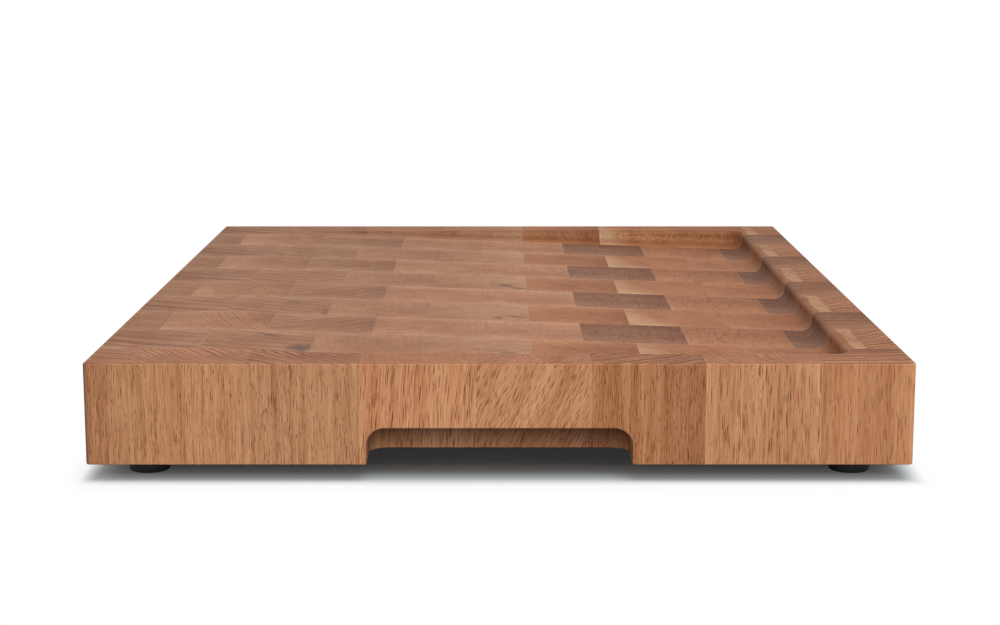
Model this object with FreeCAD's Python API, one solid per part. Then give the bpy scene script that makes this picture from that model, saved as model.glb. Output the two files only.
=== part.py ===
import FreeCAD, Part
import math
import os

# End-grain cutting board of oak blocks, glued in running bond, on four screwed rubber feet.
# Millimetres, +Z up, front face towards -Y. The origin is on the ground, under the middle of the board.
# The top has one wide recess whose floor ramps down to the right. Its walls are upright, with a round
# foot as the cutter left it and a rim that was rounded over. A finger grip is milled into the lower edge
# of the front face, and another into the lower edge of the rear face.

# Board
board_width = 400.0
board_depth = 500.0
board_height = 50.0
corner_round = 2.0
top_edge_round = 0.8
lower_edge_round = 0.7

# Blocks. The inner rows are as near to this width as a whole number of pairs of rows allows.
inner_row_width = 52.25
block_length = 55.5
first_block_length = 22.0
bond_offset_share = 0.5

# Recess in the top
level_strip_width = 60.0
right_rim_width = 28.0
side_rim_width = 25.5
recess_depth = 10.75
recess_corner_round = 11.0
recess_foot_round = 6.0
recess_rim_round = 3.0
rim_round_start = 4.0

# Finger grips
grip_width = 129.0
grip_height = 18.0
grip_depth = 34.0
grip_round = 9.0
grip_corner_round = 10.0
front_grip_wall = 3.0
rear_grip_wall = 11.0

# Feet
foot_diameter = 20.0
foot_height = 9.0
foot_side_inset = 26.0
foot_end_inset = 28.0
foot_edge_round = 0.8
foot_web = 4.0

# Washers and screws
washer_diameter = 9.0
washer_thickness = 1.0
screw_diameter = 4.0
screw_length = 20.0
screw_tip_length = 5.0
screw_head_diameter = 7.6
screw_head_height = 2.6
screw_head_round = 1.0
cross_width = 1.1
cross_length = 4.4
cross_depth = 1.6

# Clearances, and how far a cut runs past the face that it opens
washer_clearance = 0.25
screw_clearance = 0.2
pilot_clearance = 0.05
pilot_spare_depth = 2.0
cut_overrun = 5.0

# Worked out from the sizes above
half_width = board_width / 2
half_depth = board_depth / 2
board_bottom = foot_height
board_top = foot_height + board_height
front_row_width = grip_depth + front_grip_wall
rear_row_width = grip_depth + rear_grip_wall
inner_depth = board_depth - front_row_width - rear_row_width
inner_row_count = 2 * max(1, round(inner_depth / (2 * inner_row_width)))
fitted_row_width = inner_depth / inner_row_count
row_count = inner_row_count + 2
ramp_start = level_strip_width - half_width
ramp_end = half_width - right_rim_width
ramp_fall = recess_depth / (ramp_end - ramp_start)

UP = FreeCAD.Vector(0, 0, 1)


def box(low, high):
    """A box between its lowest and highest corners."""
    size = FreeCAD.Vector(*high) - FreeCAD.Vector(*low)
    return Part.makeBox(size.x, size.y, size.z, FreeCAD.Vector(*low))


def near(value, wanted):
    """True where two lengths are the same to within rounding."""
    return math.isclose(value, wanted, rel_tol=1e-6, abs_tol=1e-6)


def lies_at(edge, axis, place):
    """True where the whole edge lies in the plane at this place along an axis, such as "Z"."""
    bounds = edge.BoundBox
    return near(getattr(bounds, axis + "Min"), place) and near(getattr(bounds, axis + "Max"), place)


def both_ways(shape):
    """The shape, and the same shape turned half a turn about the board's upright axis."""
    turned = shape.copy()
    turned.rotate(FreeCAD.Vector(), UP, 180)
    return [shape, turned]


def row_spans():
    """The front and back of each row of blocks, from the front row to the rear row."""
    joints = [front_row_width - half_depth + k * fitted_row_width for k in range(inner_row_count + 1)]
    lines = [-half_depth, *joints, half_depth]
    return list(zip(lines, lines[1:]))


def block_spans(row):
    """The left and right of each block in a row. Each second row starts half a block later."""
    start = first_block_length + (row % 2) * bond_offset_share * block_length
    lines = [-half_width]
    place = start - half_width
    while place < half_width:
        lines.append(place)
        place += block_length
    lines.append(half_width)
    return list(zip(lines, lines[1:]))


def grip_void():
    """What the front finger grip takes out: open to the front and below, round everywhere inside."""
    low = (-grip_width / 2, -half_depth - grip_round - cut_overrun, board_bottom - grip_round - cut_overrun)
    high = (grip_width / 2, grip_depth - half_depth, board_bottom + grip_height)
    void = box(low, high)
    corners = [edge for edge in void.Edges if lies_at(edge, "Y", high[1]) and near(edge.BoundBox.XLength, 0)]
    void = void.makeFillet(grip_corner_round, corners)
    roof = [edge for edge in void.Edges if lies_at(edge, "Z", high[2]) and not lies_at(edge, "Y", low[1])]
    return void.makeFillet(grip_round, roof)


def floor_height(x):
    """The height of the recess's floor, or of the plane that it lies in, at a place across the board."""
    return board_top - (x - ramp_start) * ramp_fall


def lies_on_floor(edge):
    """True where the whole edge lies in the plane of the recess's floor."""
    middle = (edge.FirstParameter + edge.LastParameter) / 2
    spots = [edge.valueAt(share) for share in (edge.FirstParameter, middle, edge.LastParameter)]
    return all(near(spot.z, floor_height(spot.x)) for spot in spots)


def recess_void():
    """What the recess takes out of the top: upright walls round a floor that falls to the right."""
    wall = half_depth - side_rim_width
    before = ramp_start - level_strip_width / 2
    above = board_top + board_height
    low_line = [(before, floor_height(before)), (ramp_end, floor_height(ramp_end))]
    outline = [FreeCAD.Vector(x, -wall, z) for x, z in [*low_line, (ramp_end, above), (before, above)]]
    void = Part.Face(Part.makePolygon([*outline, outline[0]])).extrude(FreeCAD.Vector(0, 2 * wall, 0))
    corners = [edge for edge in void.Edges if lies_at(edge, "X", ramp_end) and near(edge.BoundBox.YLength, 0)]
    void = void.makeFillet(recess_corner_round, corners)
    foot = [edge for edge in void.Edges if lies_on_floor(edge) and not lies_at(edge, "X", before)]
    return void.makeFillet(recess_foot_round, foot)


def round_rim(board):
    """Round over the rim of the recess, from a little after the start of the ramp."""
    start = ramp_start + rim_round_start
    left = board.common(box((-half_width, -half_depth, board_bottom), (start, half_depth, board_top)))
    right = board.common(box((start, -half_depth, board_bottom), (half_width, half_depth, board_top)))
    rim = []
    for edge in right.Edges:
        spot = edge.BoundBox
        inside = spot.XMax < half_width - corner_round and max(-spot.YMin, spot.YMax) < half_depth - corner_round
        if inside and lies_at(edge, "Z", board_top) and not lies_at(edge, "X", start):
            rim.append(edge)
    return left.fuse(right.makeFillet(recess_rim_round, rim)).removeSplitter()


def foot_places():
    """The middle of each foot on the ground, named by its corner."""
    x = half_width - foot_side_inset
    y = half_depth - foot_end_inset
    return {
        "front_left": FreeCAD.Vector(-x, -y, 0),
        "front_right": FreeCAD.Vector(x, -y, 0),
        "rear_left": FreeCAD.Vector(-x, y, 0),
        "rear_right": FreeCAD.Vector(x, y, 0),
    }


def washer_bottom():
    """The height of the washer's lower face, which the screw's head bears on."""
    return foot_height - foot_web - washer_thickness


def pilot_hole():
    """What a screw's hole takes out of the blocks, for a screw on the upright axis."""
    depth = washer_bottom() + screw_length - board_bottom + pilot_spare_depth
    radius = screw_diameter / 2 + pilot_clearance
    return Part.makeCylinder(radius, depth + cut_overrun, FreeCAD.Vector(0, 0, board_bottom - cut_overrun))


def placed(shape):
    """A copy of the shape at each foot."""
    copies = []
    for place in foot_places().values():
        copies.append(shape.translated(place))
    return copies


def round_lower_edges(board):
    """Ease the edges that a hand meets below: the bottom outline, and the mouths of the grips."""
    arch_top = board_bottom + grip_height
    edges = []
    for edge in board.Edges:
        bounds = edge.BoundBox
        on_face = lies_at(edge, "Y", -half_depth) or lies_at(edge, "Y", half_depth)
        in_arch = on_face and bounds.XLength <= grip_width and bounds.ZMax < arch_top + top_edge_round
        if lies_at(edge, "Z", board_bottom) or in_arch:
            edges.append(edge)
    return board.makeFillet(lower_edge_round, edges)


def board_body():
    """The whole board, shaped and drilled, before it is divided into blocks."""
    board = box((-half_width, -half_depth, board_bottom), (half_width, half_depth, board_top))
    corners = [edge for edge in board.Edges if not near(edge.BoundBox.ZLength, 0)]
    board = board.makeFillet(corner_round, corners)
    board = board.cut(both_ways(grip_void()))
    board = round_lower_edges(board)
    outline = [edge for edge in board.Edges if lies_at(edge, "Z", board_top)]
    board = board.makeFillet(top_edge_round, outline)
    board = round_rim(board.cut(recess_void()))
    return board.cut(placed(pilot_hole()))


def cut_blocks(row_body, row):
    """The separate blocks of one row, from left to right."""
    blocks = []
    bounds = row_body.BoundBox
    for left, right in block_spans(row):
        low = (left, bounds.YMin - cut_overrun, bounds.ZMin - cut_overrun)
        high = (right, bounds.YMax + cut_overrun, bounds.ZMax + cut_overrun)
        blocks.extend(row_body.common(box(low, high)).Solids)
    return blocks


def block_nodes():
    """Every block of the board: single blocks in the edge rows, bars of blocks in the inner rows."""
    board = board_body()
    nodes = {}
    for row, (front, back) in enumerate(row_spans()):
        low = (-half_width, front, board_bottom - cut_overrun)
        high = (half_width, back, board_top + cut_overrun)
        blocks = cut_blocks(board.common(box(low, high)), row)
        if 0 < row < row_count - 1:
            nodes[f"inner_row_{row}"] = Part.Compound(blocks)
            continue
        side = "front" if row == 0 else "rear"
        for number, block in enumerate(blocks, start=1):
            nodes[f"{side}_block_{number}"] = block
    return nodes


def rubber_foot():
    """A round rubber foot with a sunk seat for the washer and the screw's head."""
    foot = Part.makeCylinder(foot_diameter / 2, foot_height)
    foot = foot.makeFillet(foot_edge_round, [edge for edge in foot.Edges if lies_at(edge, "Z", 0)])
    seat_depth = foot_height - foot_web
    seat_radius = washer_diameter / 2 + washer_clearance
    seat = Part.makeCylinder(seat_radius, seat_depth + cut_overrun, FreeCAD.Vector(0, 0, -cut_overrun))
    hole = Part.makeCylinder(screw_diameter / 2 + screw_clearance, foot_height)
    return foot.cut([seat, hole])


def steel_washer():
    """A flat washer pressed against the web of the foot."""
    low = FreeCAD.Vector(0, 0, washer_bottom())
    ring = Part.makeCylinder(washer_diameter / 2, washer_thickness, low)
    return ring.cut(Part.makeCylinder(screw_diameter / 2 + screw_clearance, washer_thickness, low))


def pan_head():
    """A pan head with a cross recess, below the washer."""
    low = washer_bottom() - screw_head_height
    head = Part.makeCylinder(screw_head_diameter / 2, screw_head_height, FreeCAD.Vector(0, 0, low))
    head = head.makeFillet(screw_head_round, [edge for edge in head.Edges if lies_at(edge, "Z", low)])
    half_long = cross_length / 2
    half_wide = cross_width / 2
    top = low + cross_depth
    bottom = low - cut_overrun
    along = box((-half_long, -half_wide, bottom), (half_long, half_wide, top))
    over = box((-half_wide, -half_long, bottom), (half_wide, half_long, top))
    return head.cut([along, over])


def wood_screw():
    """A pan-head wood screw that goes up through washer and foot into a block."""
    radius = screw_diameter / 2
    straight = screw_length - screw_tip_length
    base = washer_bottom()
    shank = Part.makeCylinder(radius, straight, FreeCAD.Vector(0, 0, base))
    tip = Part.makeCone(radius, 0, screw_tip_length, FreeCAD.Vector(0, 0, base + straight))
    return pan_head().fuse([shank, tip]).removeSplitter()


def foot_nodes():
    """The four feet, each with its own node, and the washers and screws that hold them."""
    foot = rubber_foot()
    nodes = {}
    for corner, place in foot_places().items():
        nodes[f"foot_{corner}"] = foot.translated(place)
    nodes["foot_washers"] = Part.Compound(placed(steel_washer()))
    nodes["foot_screws"] = Part.Compound(placed(wood_screw()))
    return nodes


def main():
    """Make every piece and write one STEP file for each node."""
    os.makedirs("parts", exist_ok=True)
    for name, shape in {**block_nodes(), **foot_nodes()}.items():
        shape.exportStep(f"parts/{name}.step")
        print(name, len(shape.Solids), "solids", round(shape.Volume), "mm3", "valid", shape.isValid())


main()
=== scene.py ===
"""Looks for an end-grain oak cutting board on four rubber feet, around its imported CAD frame."""

from __future__ import annotations

import logging
import math
from collections.abc import Mapping, Sequence
from dataclasses import dataclass, field
from enum import Enum

import bpy
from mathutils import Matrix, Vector


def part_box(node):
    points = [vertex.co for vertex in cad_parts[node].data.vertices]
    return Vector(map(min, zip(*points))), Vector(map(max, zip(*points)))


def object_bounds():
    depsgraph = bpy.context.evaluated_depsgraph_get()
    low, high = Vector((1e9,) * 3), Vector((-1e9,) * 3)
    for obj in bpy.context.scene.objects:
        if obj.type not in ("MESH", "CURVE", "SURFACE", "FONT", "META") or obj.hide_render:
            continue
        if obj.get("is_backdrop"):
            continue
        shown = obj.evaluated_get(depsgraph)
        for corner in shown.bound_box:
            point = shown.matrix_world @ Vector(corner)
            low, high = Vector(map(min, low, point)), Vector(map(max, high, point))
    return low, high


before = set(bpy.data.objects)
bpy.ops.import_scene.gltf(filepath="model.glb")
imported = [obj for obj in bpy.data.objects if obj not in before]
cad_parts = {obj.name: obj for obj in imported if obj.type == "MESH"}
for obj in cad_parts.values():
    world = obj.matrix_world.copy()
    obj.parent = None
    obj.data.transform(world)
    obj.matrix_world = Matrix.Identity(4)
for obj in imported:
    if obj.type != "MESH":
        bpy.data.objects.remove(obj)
CAD_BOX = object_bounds()
MM = 0.001
LOG = logging.getLogger("cutting_board")

Socket = bpy.types.NodeSocket
Value = Socket | float | Sequence[float]
Pair = tuple[float, float]
Triple = tuple[float, float, float]
Tints = tuple[tuple[float, Triple], ...]


def linear(hex_colour: str) -> tuple[float, float, float, float]:
    """Turn an sRGB hex colour into the linear colour that shaders use.

    Args:
        hex_colour: Six hex digits, such as "B88660".

    Returns:
        Red, green, blue and alpha, each from 0 to 1.
    """
    channels = []
    for start in (0, 2, 4):
        share = int(hex_colour[start : start + 2], 16) / 255
        channels.append(share / 12.92 if share <= 0.04045 else ((share + 0.055) / 1.055) ** 2.4)
    return (*channels, 1.0)


def per_mm(*sizes_mm: float) -> tuple[float, ...]:
    """How often a pattern of each size in millimetres repeats in one millimetre."""
    return tuple(1 / size for size in sizes_mm)


def greys(profile: Sequence[Pair]) -> list[tuple[float, Triple]]:
    """The stops of a colour ramp in grey, from pairs of a place and a value."""
    return [(place, (value,) * 3) for place, value in profile]


class Shader:
    """The node tree of one material, filled node by node."""

    def __init__(self, name: str) -> None:
        """Start an empty material.

        Args:
            name: The material's name.
        """
        self.material = bpy.data.materials.new(name)
        self.material.use_nodes = True
        self.tree = self.material.node_tree
        self.tree.nodes.clear()

    def add(
        self,
        kind: str,
        sockets: Mapping[int | str, Value] | None = None,
        out: int | str = 0,
        stops: Sequence[tuple[float, Sequence[float]]] = (),
        blend: str = "LINEAR",
        **settings: object,
    ) -> Socket | None:
        """Add a node with its settings and links.

        Args:
            kind: The node's type, without the words ShaderNode.
            sockets: What each input takes: another node's output, or a constant.
            out: The output that is wanted.
            stops: Places and values of a colour ramp, for a node that has one.
            blend: How that ramp goes from stop to stop.
            settings: The node's own properties.

        Returns:
            The wanted output, or nothing if the node has none.
        """
        node = self.tree.nodes.new("ShaderNode" + kind)
        for name, setting in settings.items():
            setattr(node, name, setting)
        if stops:
            node.color_ramp.interpolation = blend
            while len(node.color_ramp.elements) < len(stops):
                node.color_ramp.elements.new(1.0)
            for element, (place, value) in zip(node.color_ramp.elements, stops):
                element.position = place
                element.color = (*value[:3], 1.0)
        for key, value in (sockets or {}).items():
            if isinstance(value, Socket):
                self.tree.links.new(value, node.inputs[key])
            else:
                node.inputs[key].default_value = value
        return node.outputs[out] if len(node.outputs) else None

    def calc(self, operation: str, *values: Value) -> Socket:
        """Add a node that calculates with numbers, and return its result."""
        return self.add("Math", dict(enumerate(values)), operation=operation)

    def vector(self, operation: str, *values: Value, out: int | str = 0) -> Socket:
        """Add a node that calculates with vectors, and return the wanted result."""
        return self.add("VectorMath", dict(enumerate(values)), out=out, operation=operation)

    def span(
        self,
        value: Socket,
        edges: Sequence[Value] = (0.0, 1.0),
        to: Sequence[Value] = (0.0, 1.0),
        smooth: bool = False,
    ) -> Socket:
        """Spread the part of a value between two edges over another span, and cut off the rest.

        Args:
            value: The value.
            edges: Where that part starts and ends.
            to: What its start and its end become.
            smooth: Whether it eases in and out.

        Returns:
            The new value.
        """
        kind = "SMOOTHSTEP" if smooth else "LINEAR"
        return self.add("MapRange", dict(enumerate((value, *edges, *to))), interpolation_type=kind)

    def mix(self, share: Value, below: Value, above: Value, blend: str = "MIX") -> Socket:
        """Lay one colour over another.

        Args:
            share: How much of the upper colour shows, from 0 to 1.
            below: The lower colour.
            above: The upper colour.
            blend: How the two are combined.

        Returns:
            The mixed colour.
        """
        colours = {0: share, 6: below, 7: above}
        return self.add("Mix", colours, out=2, data_type="RGBA", blend_type=blend)


class Oak(Enum):
    """The tones of oiled oak in the board, before pores and rings darken them."""

    HONEY = "B67F56"
    CHESTNUT = "A87048"
    PALE = "C49062"
    PEACH = "C18A5E"
    TAN = "BC865A"
    BROWN = "AE7245"
    DARK = "966340"


@dataclass(frozen=True)
class Streak:
    """A paler or darker part of a stave, on one side of a straight line across its end.

    Attributes:
        bearing: The side that differs, in degrees from the right, turning to the back.
        start: How far from the block's middle it starts, in mm.
        soft: How wide the change is, in mm.
        shade: How far it goes to sapwood, above 0, or to dark heartwood, below 0.
    """

    bearing: float = 0.0
    start: float = 0.0
    soft: float = 10.0
    shade: float = 0.0


@dataclass(frozen=True)
class Stave:
    """One oak stave, which gives one block to each second row.

    Attributes:
        tone: The wood's main colour.
        shade: How light it is beside that colour, where 1 is the same.
        pith_bearing: Where the middle of the tree was, in degrees from the right, turning to the back.
        pith_distance: How far away it was, in mm.
        ring_gap: The width of a year ring, in mm.
        ring_depth: How much darker the rings' porous lines are, from 0 to 1.
        pores: How large the long pores are, where 1 is usual.
        short_pores: How large the short ones are.
        fleck: How strongly its end grain is speckled.
        lean: How far the fibres run to the right on each mm of height, in mm.
        wash: How much lighter its end gets to the right, to the back, and to its front and back edges.
        streak: A part of the stave in another shade.
    """

    tone: Oak
    shade: float
    pith_bearing: float
    ring_gap: float
    ring_depth: float
    pores: float = 0.85
    short_pores: float = 0.85
    fleck: float = 0.15
    pith_distance: float = 130.0
    lean: float = 0.0
    wash: Triple = (0.0, 0.0, 0.0)
    streak: Streak = field(default_factory=Streak)

    def pith(self) -> Pair:
        """The middle of the tree, in mm to the right of and behind the block's middle."""
        bearing = math.radians(self.pith_bearing)
        return self.pith_distance * math.cos(bearing), self.pith_distance * math.sin(bearing)

    def colour(self) -> tuple[float, ...]:
        """The wood's colour, with its shade."""
        return tuple(channel * self.shade for channel in linear(self.tone.value)[:3])


@dataclass(frozen=True)
class Knot:
    """A pin knot that shows on one of the board's faces.

    Attributes:
        right: Its place from the board's left edge, in mm.
        back: Its place from the board's front edge, in mm.
        length: Its longer half, in mm.
        width: Its shorter half, in mm.
        turn: How its length is turned from the right to the back, in degrees.
        depth: How dark it is, from 0 to 1.
        up: Its place from the board's lower face, in mm.
        reach: How far it goes up and down from there, in mm.
    """

    right: float
    back: float
    length: float
    width: float
    turn: float
    depth: float
    up: float = 50.0
    reach: float = 500.0


FRONT_STAVES = (
    Stave(Oak.HONEY, 0.91, 62, 5.0, 0.55, 0.72, 0.64),
    Stave(Oak.HONEY, 0.95, 40, 3.2, 0.55, 0.68, 0.6, streak=Streak(180, 2, 26, 0.12)),
    Stave(Oak.HONEY, 0.88, 50, 4.2, 0.7, 0.66, 0.66, pith_distance=150, wash=(0.0, -0.07, 0.0)),
    Stave(Oak.HONEY, 1.08, 5, 3.4, 0.2, 0.95, 0.4, lean=0.07, streak=Streak(90, 8, 14, 0.2)),
    Stave(Oak.HONEY, 1.0, 170, 3.6, 0.2, 0.45, 0.92, fleck=0.35, lean=0.42),
    Stave(Oak.CHESTNUT, 0.98, 120, 4.8, 0.8, 0.74, 0.74, pith_distance=200, streak=Streak(0, 2, 8, -0.2)),
    Stave(Oak.HONEY, 0.99, 20, 3.6, 0.35, 0.88, 0.45, streak=Streak(180, 26, 1.5, 0.2)),
    Stave(Oak.CHESTNUT, 0.99, 94, 5.8, 1.0, 0.72, 0.3, pith_distance=200, wash=(0.0, -0.34, 0.0)),
)

ODD_STAVES = (
    Stave(Oak.TAN, 0.90, 65, 5.0, 0.18, wash=(-0.06, 0.0, 0.2)),
    Stave(Oak.TAN, 1.0, 20, 2.6, 0.25, fleck=0.22, pith_distance=300, wash=(-0.12, -0.05, 0.15)),
    Stave(
        Oak.TAN, 0.88, 128, 5.0, 0.3,
        pith_distance=200, wash=(-0.05, 0.0, 0.35), streak=Streak(0, 6, 20, -0.16),
    ),
    Stave(Oak.PEACH, 1.01, 4, 3.2, 0.06, wash=(0.0, 0.04, 0.26)),
    Stave(Oak.PEACH, 1.06, 176, 3.2, 0.06, wash=(0.0, 0.04, 0.26)),
    Stave(Oak.DARK, 1.0, 86, 6.5, 0.40, fleck=0.3, pith_distance=220, wash=(-0.13, -0.25, 0.2)),
    Stave(Oak.BROWN, 1.07, 92, 4.5, 0.1, fleck=0.3, pith_distance=80, wash=(-0.1, -0.16, 0.12)),
    Stave(
        Oak.BROWN, 0.74, 88, 5.5, 0.70,
        pith_distance=220, wash=(-0.1, -0.27, 0.1), streak=Streak(180, 3, 14, -0.6),
    ),
)

EVEN_STAVES = (
    Stave(Oak.HONEY, 0.87, 67, 12.0, 0.42, pith_distance=220, wash=(0.11, 0.0, 0.3)),
    Stave(Oak.TAN, 0.91, 72, 10.0, 0.32, pith_distance=220, wash=(-0.05, 0.06, 0.16)),
    Stave(Oak.PEACH, 0.91, 10, 4.0, 0.06, wash=(-0.05, 0.0, 0.16)),
    Stave(Oak.PALE, 0.97, 60, 5.0, 0.06, wash=(0.11, 0.1, 0.05)),
    Stave(Oak.BROWN, 1.10, 36, 3.8, 0.28, pith_distance=220, wash=(-0.16, 0.05, 0.22)),
    Stave(Oak.BROWN, 1.19, 30, 4.6, 0.06, wash=(-0.03, -0.05, 0.08), streak=Streak(200, 6, 22, 0.75)),
    Stave(Oak.BROWN, 1.06, 88, 6.0, 0.14, wash=(-0.14, -0.05, 0.22), streak=Streak(0, 20.5, 1.5, 0.68)),
    Stave(Oak.BROWN, 0.98, 130, 5.0, 0.8, pith_distance=200),
)

FRONT_KNOTS = (
    Knot(338, 0, 2.5, 8, 0, 0.4, up=33, reach=3.5),
    Knot(263, 0, 0.8, 8, 0, 0.5, up=22, reach=16),
)

EVEN_KNOTS = (
    Knot(82, 180, 12, 3, -38, 0.55),
    Knot(82, 77, 13, 3.2, -35, 0.6),
    Knot(85, 287, 10, 3.4, -30, 0.4),
    Knot(99, 46, 9, 15, 0, 0.75),
    Knot(103, 148, 3, 12, 0, 0.5),
    Knot(204, 262, 9, 5.5, -62, 0.75),
    Knot(212, 253, 9, 4, -15, 0.7),
    Knot(200, 151, 8, 4.5, -75, 0.55),
    Knot(210, 154, 10, 5.5, -30, 0.5),
    Knot(204, 52, 10, 7, -50, 0.4),
)


@dataclass(frozen=True)
class RowLayout:
    """How the blocks of one kind of row lie, in mm from the board's left front lower corner.

    Attributes:
        first_joint: The first joint between blocks.
        block: The length of a block.
        first_row: Where the first row of this kind starts, before it was trimmed.
        row: The width of a row.
        seed: A shift that gives each kind of row its own pattern.
    """

    first_joint: float
    block: float
    first_row: float
    row: float
    seed: float


@dataclass(frozen=True)
class Spot:
    """Outputs of a node tree that say where a point of the surface lies, in mm.

    Attributes:
        place: From the board's left front lower corner.
        height: Above the board's lower face.
        inset: Inside the board's outline.
        number: The block's number in its row, which isn't a length.
        slice_number: The number of the pair of rows, which isn't a length.
        right: To the right of the block's middle.
        behind: Behind the block's middle.
        upright: How far the face looks up or down, from 0 to 1.
        forward: How far the face looks to the front or the back, from 0 to 1.
        end_grain: 1 on faces across the fibres, 0 on faces along them.
    """

    place: Socket
    height: Socket
    inset: Socket
    number: Socket
    slice_number: Socket
    right: Socket
    behind: Socket
    upright: Socket
    forward: Socket
    end_grain: Socket


@dataclass(frozen=True)
class Habit:
    """Outputs of a node tree that differ from stave to stave, with up to three numbers each.

    Attributes:
        tone: The wood's colour.
        pith: The pith's place to the right and behind, both with far added, and the width of a ring.
        growth: The depth of the rings, the size of the long pores, and the lean of the fibres.
        figure: The size of the short pores, and the strength of the flecks.
        wash: How much lighter the end gets each way, with 1 added.
        streak_side: The streak's bearing as cosine and sine, with 1 added, and its start, with far added.
        streak_shade: How wide the streak's change is, and its shares of sapwood and of heartwood.
    """

    tone: Socket
    pith: Socket
    growth: Socket
    figure: Socket
    wash: Socket
    streak_side: Socket
    streak_shade: Socket


@dataclass(frozen=True)
class Grain:
    """Outputs of a node tree for the wood's own patterns, each from about 0 to about 1.

    Attributes:
        ring: The porous lines of the year rings.
        pore: The pores.
        fibre: Single fibres.
        fleck: The rays in the end grain.
        band: Narrow streaks.
        cloud: Broad lighter and darker parts.
    """

    ring: Socket
    pore: Socket
    fibre: Socket
    fleck: Socket
    band: Socket
    cloud: Socket


@dataclass(frozen=True)
class Pattern:
    """How oak's own patterns are drawn. A pair in mm is a size across the fibres and one along them.

    Attributes:
        pore_mm: The cells that hold one long pore each.
        fine_pore_mm: The cells that hold one short pore each.
        pore_reach: How far a pore reaches in its cell.
        ring_reach: How much further it reaches in a ring's porous line.
        pore_core: The share of its reach that is fully dark.
        fibre_mm: Single fibres.
        fibre_edges: Where in the noise a fibre starts and is full.
        band_mm: Narrow streaks.
        cloud_mm: Broad lighter and darker parts.
        streak_roughness: How rough the noise of these three is.
        wander_mm: The waves in which the fibres wander.
        wander_by_mm: How far they wander.
        ray_mm: Rays, across and along themselves, about four times as coarse as real ones, to show.
        ray_roughness: How rough their noise is.
        ray_edges: Where in the noise a ray starts and is full.
        ray_light: How light the wood is beside a ray and on it.
        ring_waver_mm: How far the rings are out of round.
        ring_profile: How porous a ring is, from the start of its year to the end.
        ring_density: How porous the weakest and the strongest year are beside that.
        drift_rate: How often the width of the rings changes in one year.
        drift_years: How far that moves them, in years.
        drift_seed: What sets the drift of neighbouring staves apart.
        year_seed: What sets the years of neighbouring staves apart.
        slice_mm: How much further along the stave its next block was cut.
        blocks_apart: How many blocks lie between the patterns of neighbouring staves.
    """

    pore_mm: Pair = (0.55, 20.0)
    fine_pore_mm: Pair = (0.5, 8.0)
    pore_reach: float = 0.3
    ring_reach: float = 0.06
    pore_core: float = 0.75
    fibre_mm: Pair = (0.6, 24.0)
    fibre_edges: Pair = (0.36, 0.64)
    band_mm: Pair = (4.5, 160.0)
    cloud_mm: Pair = (26.0, 130.0)
    streak_roughness: float = 0.55
    wander_mm: Pair = (14.0, 20.0)
    wander_by_mm: float = 1.5
    ray_mm: Pair = (0.9, 12.0)
    ray_roughness: float = 0.6
    ray_edges: Pair = (0.3, 0.55)
    ray_light: Pair = (-0.25, 0.75)
    ring_waver_mm: float = 7.0
    ring_profile: tuple[Pair, ...] = ((0.0, 0.0), (0.22, 1.0), (0.42, 0.7), (0.75, 0.08), (1.0, 0.0))
    ring_density: Pair = (0.55, 1.25)
    drift_rate: float = 0.45
    drift_years: float = 1.3
    drift_seed: float = 17.3
    year_seed: float = 41.0
    slice_mm: float = 53.0
    blocks_apart: float = 10.0


@dataclass(frozen=True)
class Contrast:
    """How strongly oak's patterns show. A pair named after a pattern is for the sides and the end grain.

    Attributes:
        rings: The year rings.
        fibres: Single fibres.
        bands: Narrow streaks.
        clouds: Broad lighter and darker parts.
        pores: The pores.
        ring_middle: The part of a ring that has the stave's own colour.
        patch_edges: Where in the clouds faint rings start and are full.
        patch_shares: How much of them shows at these two places.
        edge_power: How late the wash towards the edges rises.
        edge_mean: The mean of that rise, which is taken off.
        redden: The powers that turn a dark line redder, for green and for blue.
        streak_wave_mm: How wavy the edge of a streak is.
        knot_ragged: How ragged a knot's outline is, in shares of its size.
        knot_edges: Where a knot starts to fade and where it ends, in the same.
    """

    rings: Pair = (0.14, 1.0)
    fibres: Pair = (0.24, 0.12)
    bands: Pair = (0.52, 0.36)
    clouds: Pair = (0.4, 0.6)
    pores: Pair = (1.0, 0.35)
    ring_middle: float = 0.4
    patch_edges: Pair = (0.4, 0.62)
    patch_shares: Pair = (0.1, 1.4)
    edge_power: float = 3.0
    edge_mean: float = 0.25
    redden: Pair = (1.45, 1.85)
    streak_wave_mm: float = 8.0
    knot_ragged: float = 0.8
    knot_edges: Pair = (0.5, 1.4)


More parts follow.
